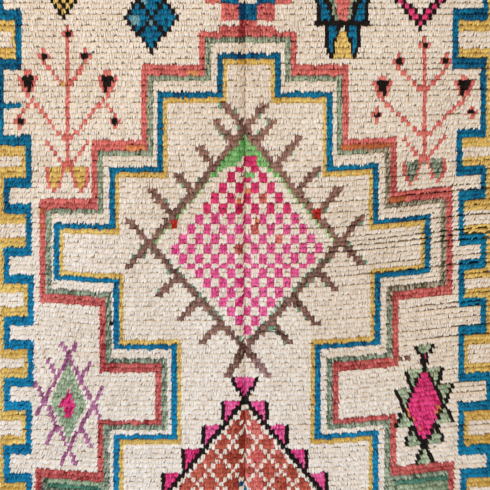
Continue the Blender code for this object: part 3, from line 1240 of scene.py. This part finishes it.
def strands(name, where):
    """Strands of the knots in a mask, as one piece.

    The middle line of a strand has four places: the root, at the ground, then root plus the
    shares RING_SIDE and RING_DOWN of the lean, RING_UP of the rise and RING_HANG of the droop.
    Rings stand across that line, broader than they are deep, and turn a little with each as
    the yarn does.
    """
    middle = np.stack((
        root_x[where][:, None] + lean_x[where][:, None] * RING_SIDE,
        root_y[where][:, None] + lean_y[where][:, None] * RING_DOWN,
        ROOT_HEIGHT + rise[where][:, None] * RING_UP - hang[where][:, None] * RING_HANG,
    ), axis=-1)
    count = len(middle)
    before = np.concatenate((middle[:, :1], middle[:, :-2]), axis=1)
    run = middle[:, 1:] - before
    run /= np.linalg.norm(run, axis=-1, keepdims=True)
    across = np.stack((run[..., 1], -run[..., 0], np.zeros(run.shape[:2])), axis=-1)
    across /= np.linalg.norm(across, axis=-1, keepdims=True)
    over = np.cross(across, run)
    angle = 2.0 * np.pi * np.arange(CORNERS) / CORNERS + np.pi / 2.0
    angle = angle + turn[where][:, None, None] + STRAND_TWIST * RING_ALONG[:-1, None]
    size = (girth[where][:, None] * RING_GIRTH)[..., None]
    wide = (STRAND_HALF_WIDTH * size * np.cos(angle))[..., None]
    deep = (STRAND_HALF_DEPTH * size * np.sin(angle))[..., None]
    rings = middle[:, :-1, None] + wide * across[:, :, None] + deep * over[:, :, None]
    points = np.concatenate((rings.reshape(count, -1, 3), middle[:, -1:]), axis=1)
    corners, sizes = strand_faces()
    all_corners = (corners[None, :] + STRAND_POINTS * np.arange(count)[:, None]).ravel()
    piece = put_mesh(name, points.reshape(-1, 3), all_corners, np.tile(sizes, count))
    one_map = strand_map()
    put_uv(piece, "yarn", np.tile(one_map, (count, 1)))
    side = int(np.ceil(np.sqrt(count)))
    cell = np.stack((np.arange(count) % side, np.arange(count) // side), axis=-1) / side
    inside_cell = (BAKED_FROM + BAKED_SPAN * one_map) / side
    put_uv(piece, "OFBake", (cell[:, None, :] + inside_cell[None, :, :]).reshape(-1, 2))
    put_values(piece, "shade", np.repeat(shade[where], STRAND_POINTS))
    put_values(piece, "yellowing_and_shade", np.repeat(yellowing_and_shade[where], STRAND_POINTS))
    return piece


PILE_ROUGHNESS = 0.90
PLY_STRETCH = (1.0, 2.2, 1.0)
PLY_SCALE = 0.9
PLY_UNEVEN = 1.2
PLY_CONTRAST = 0.24
DEEPEST_AT = 0.12        # shade of the deep fibres; the pale ones have shade 1
FIBRE_SCALE = 900.0
YARN_BUMP = 0.0004
YARN_BUMP_STRENGTH = 0.5
# Painted shade: these tints darken the low parts of each tuft and the part under the row above,
# for the shade between the tufts
CREAM_PAINTED_SHADE = (0.90, 0.79, 0.64, 1.0)
DYED_PAINTED_SHADE = (0.62, 0.52, 0.46, 1.0)
NO_PAINTED_SHADE = (1.0, 1.0, 1.0, 1.0)
PAINTED_SHADE_BELOW = 0.0055
UNSHADED_ABOVE = 0.0098
SHADED_TO = 0.38         # along the tuft, where it comes out from under the row above; the painted shade fades from here
UNSHADED_FROM = 0.80
PAINTED_SHADE_SHARE = 0.72             # share of the painted shade shown where the wool has not yellowed
MORE_SHADE_WITH_AGE = 0.12    # added to it as the field of yellowing and painted shade grows
# tint of yellowed wool, also used as painted shade at some places
AGE_AND_SHADE_TINT = (0.912, 0.838, 0.742, 1.0)


def wool_material(name, deep, pale, shade_tint):
    """Two-ply wool, in a dye that its shade picks between deep and pale.

    The plies wind round the yarn as slanting bands and loose fibres break them up. Age yellows the
    wool, and the same tint paints shade in some places. Painted shade darkens what lies deep and
    the part of each tuft under the row above.
    """
    material, shader, feed, add = wool_nodes(name + "_wool", PILE_ROUGHNESS)
    on_yarn = add("ShaderNodeUVMap", "UV", {}, uv_map="yarn")
    in_rug = add("ShaderNodeTexCoord", "Object", {})
    wound = add("ShaderNodeMapping", "Vector", {"Vector": on_yarn, "Scale": PLY_STRETCH})
    ply = add("ShaderNodeTexWave", "Fac", {"Vector": wound, "Scale": PLY_SCALE,
                                           "Distortion": PLY_UNEVEN, "Detail": 2.0},
              wave_type="BANDS", bands_direction="DIAGONAL")
    fibre = add("ShaderNodeTexNoise", "Fac",
                {"Vector": in_rug, "Scale": FIBRE_SCALE, "Detail": 3.0})
    level = add("ShaderNodeAttribute", "Fac", {}, attribute_name="shade")
    mixed = add("ShaderNodeMath", "Value", {0: ply, 1: PLY_CONTRAST, 2: level},
                operation="MULTIPLY_ADD")
    dyed = add("ShaderNodeValToRGB", "Color", {"Fac": mixed})
    deepest, palest = dyed.node.color_ramp.elements
    deepest.position = DEEPEST_AT
    deepest.color = (*linear(deep), 1.0)
    palest.color = (*linear(pale), 1.0)
    yellowing_and_shade_level = add("ShaderNodeAttribute", "Fac", {}, attribute_name="yellowing_and_shade")
    # yellowing, and painted shade at some places
    aged_and_shaded = add("ShaderNodeMix", "Result", {"Factor": yellowing_and_shade_level, "A": dyed, "B": AGE_AND_SHADE_TINT},
               data_type="RGBA", blend_type="MULTIPLY")
    # painted shade: darker low down and near the root, where the row above shades the tuft
    height = add("ShaderNodeSeparateXYZ", "Z", {"Vector": in_rug})
    along = add("ShaderNodeSeparateXYZ", "Y", {"Vector": on_yarn})
    unshaded = add("ShaderNodeMath", "Value", {0: eased(add, height, PAINTED_SHADE_BELOW, UNSHADED_ABOVE),
                                            1: eased(add, along, SHADED_TO, UNSHADED_FROM)},
                operation="MULTIPLY")
    shade_colour = add("ShaderNodeMix", "Result", {"Factor": unshaded, "A": shade_tint, "B": NO_PAINTED_SHADE},
               data_type="RGBA")
    shade_share = add("ShaderNodeMath", "Value", {0: yellowing_and_shade_level, 1: MORE_SHADE_WITH_AGE, 2: PAINTED_SHADE_SHARE},
                operation="MULTIPLY_ADD", use_clamp=True)
    shaded_dye = add("ShaderNodeMix", "Result", {"Factor": shade_share, "A": aged_and_shaded, "B": shade_colour},
                data_type="RGBA", blend_type="MULTIPLY")
    relief = add("ShaderNodeMath", "Value", {0: ply, 1: fibre}, operation="ADD")
    bump = add("ShaderNodeBump", "Normal", {"Height": relief, "Strength": YARN_BUMP_STRENGTH,
                                            "Distance": YARN_BUMP})
    feed(shader, {"Base Color": shaded_dye, "Normal": bump})
    return material


wool = {}


def join_pile(piece, yarn):
    """Gives a piece its wool and attaches it to the rug's root."""
    piece.data.materials.append(wool[yarn])
    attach(piece, "root")


for number, (yarn, deep, pale) in enumerate(YARNS):
    undyed = yarn == "cream"
    # each wool gets its tint of painted shade
    wool[yarn] = wool_material(yarn, deep, pale, CREAM_PAINTED_SHADE if undyed else DYED_PAINTED_SHADE)
    tied = on_cloth & (yarn_no == number)
    bands = CREAM_BANDS if undyed else 1
    tied_rows = np.cumsum(tied.sum(axis=1)) / max(tied.sum(), 1)
    band_of_row = np.minimum((tied_rows * bands).astype(int), bands - 1)
    for band in range(bands):
        where = tied & (band_of_row == band)[:, None]
        if where.any():
            name = f"pile_{yarn}_{band + 1}" if bands > 1 else f"pile_{yarn}"
            join_pile(strands(name, where), yarn)


# Two black ends of yarn that have worked loose from their knots and lie across the pile: a long
# one below the checked lozenge and a short one beside a flower of the left stem.

LOOSE_HEIGHT = 0.0150
LOOSE_SAG = 0.0022       # both tips go down between the tufts by this
LOOSE_RADIUS = 0.0008
LOOSE_SHADE = 0.6        # between the deep and the pale fibres of the yarn
LOOSE_RINGS = 25
LOOSE_CORNERS = 6
TWISTS_PER_METRE = 90.0
LOOSE_ENDS = (
    # name, and the start, bend and tip of its curve as x, y
    ("long", (0.024, -0.172), (0.051, -0.163), (0.085, -0.179)),
    ("short", (-0.316, 0.370), (-0.305, 0.372), (-0.295, 0.380)),
)


def loose_end(name, start, bend, tip):
    """A round tube on the curve (1 - t)^2 start + 2 t (1 - t) bend + t^2 tip, low at both ends."""
    t = np.linspace(0.0, 1.0, LOOSE_RINGS)[:, None]
    path = (1 - t) ** 2 * np.array(start) + 2 * t * (1 - t) * np.array(bend) + t**2 * np.array(tip)
    height = LOOSE_HEIGHT - LOOSE_SAG * (2.0 * t - 1.0) ** 4
    run = np.gradient(path, axis=0)
    length = np.linalg.norm(run, axis=1, keepdims=True)
    along = np.concatenate(([0.0], np.cumsum(length[1:, 0])))
    across = np.stack((-run[:, 1], run[:, 0]), axis=-1) / length
    angle = 2.0 * np.pi * np.arange(LOOSE_CORNERS) / LOOSE_CORNERS
    flat = path[:, None] + LOOSE_RADIUS * np.cos(angle)[:, None] * across[:, None]
    points = np.concatenate((flat, (height + LOOSE_RADIUS * np.sin(angle))[..., None]), axis=-1)
    grid = np.arange(LOOSE_RINGS * LOOSE_CORNERS).reshape(LOOSE_RINGS, LOOSE_CORNERS)
    following = np.roll(grid, -1, axis=1)
    walls = np.stack((grid[:-1], grid[1:], following[1:], following[:-1]), axis=-1)
    corners = np.concatenate((walls.ravel(), grid[0], grid[-1, ::-1]))
    sizes = [4] * (walls.size // 4) + [LOOSE_CORNERS] * 2
    piece = put_mesh(f"loose_end_{name}", points.reshape(-1, 3), corners, sizes)
    place = np.stack(np.broadcast_arrays(
        (angle / (2.0 * np.pi))[None, :], 1.0 + TWISTS_PER_METRE * along[:, None]), axis=-1)
    put_uv(piece, "yarn", place.reshape(-1, 2)[corners])
    put_values(piece, "shade", np.full(grid.size, LOOSE_SHADE))
    put_values(piece, "yellowing_and_shade", np.zeros(grid.size))
    return piece


for shape in LOOSE_ENDS:
    join_pile(loose_end(*shape), "black")


# The floor, plain and pale, with soft studio light from the upper left and the camera straight
# above the rug, which fills its view.

FLOOR_SIZE = 8.0
FLOOR_COLOUR = (0.78, 0.77, 0.75, 1.0)
FLOOR_ROUGHNESS = 0.8
VIEW_WIDTH = 0.960
PILE_LEVEL = 0.012
LENS = 85.0
SENSOR = 36.0
LIGHTS = (
    # name, place, size, watts
    ("key_light", (-1.5, 1.5, 2.3), 1.8, 52.0),
    ("fill_light", (1.2, -1.6, 2.4), 2.4, 15.0),
)
WORLD_LIGHT = 0.82
WORLD_COLOUR = (0.99, 0.99, 1.0, 1.0)

bpy.ops.mesh.primitive_plane_add(size=FLOOR_SIZE, location=(0.0, 0.0, 0.0))
floor = bpy.context.object
floor.name = "floor"
floor_material = bpy.data.materials.new("floor_paint")
floor_material.use_nodes = True
floor_shader = floor_material.node_tree.nodes["Principled BSDF"]
floor_shader.inputs["Base Color"].default_value = FLOOR_COLOUR
floor_shader.inputs["Roughness"].default_value = FLOOR_ROUGHNESS
floor.data.materials.append(floor_material)

for name, place, size, watts in LIGHTS:
    light = bpy.data.lights.new(name, "AREA")
    light.shape = "SQUARE"
    light.size = size
    light.energy = watts
    lamp = bpy.data.objects.new(name, light)
    lamp.location = place
    lamp.rotation_euler = Vector(place).to_track_quat("Z", "Y").to_euler()
    bpy.context.scene.collection.objects.link(lamp)

world = bpy.data.worlds.new("studio")
world.use_nodes = True
sky = world.node_tree.nodes["Background"]
sky.inputs["Color"].default_value = WORLD_COLOUR
sky.inputs["Strength"].default_value = WORLD_LIGHT
bpy.context.scene.world = world
bpy.context.scene.view_settings.view_transform = "Standard"

camera_data = bpy.data.cameras.new("camera")
camera_data.lens = LENS
camera_data.sensor_width = SENSOR
camera = bpy.data.objects.new("camera", camera_data)
camera.location = (0.0, 0.0, PILE_LEVEL + VIEW_WIDTH * LENS / SENSOR)
bpy.context.scene.collection.objects.link(camera)
bpy.context.scene.camera = camera
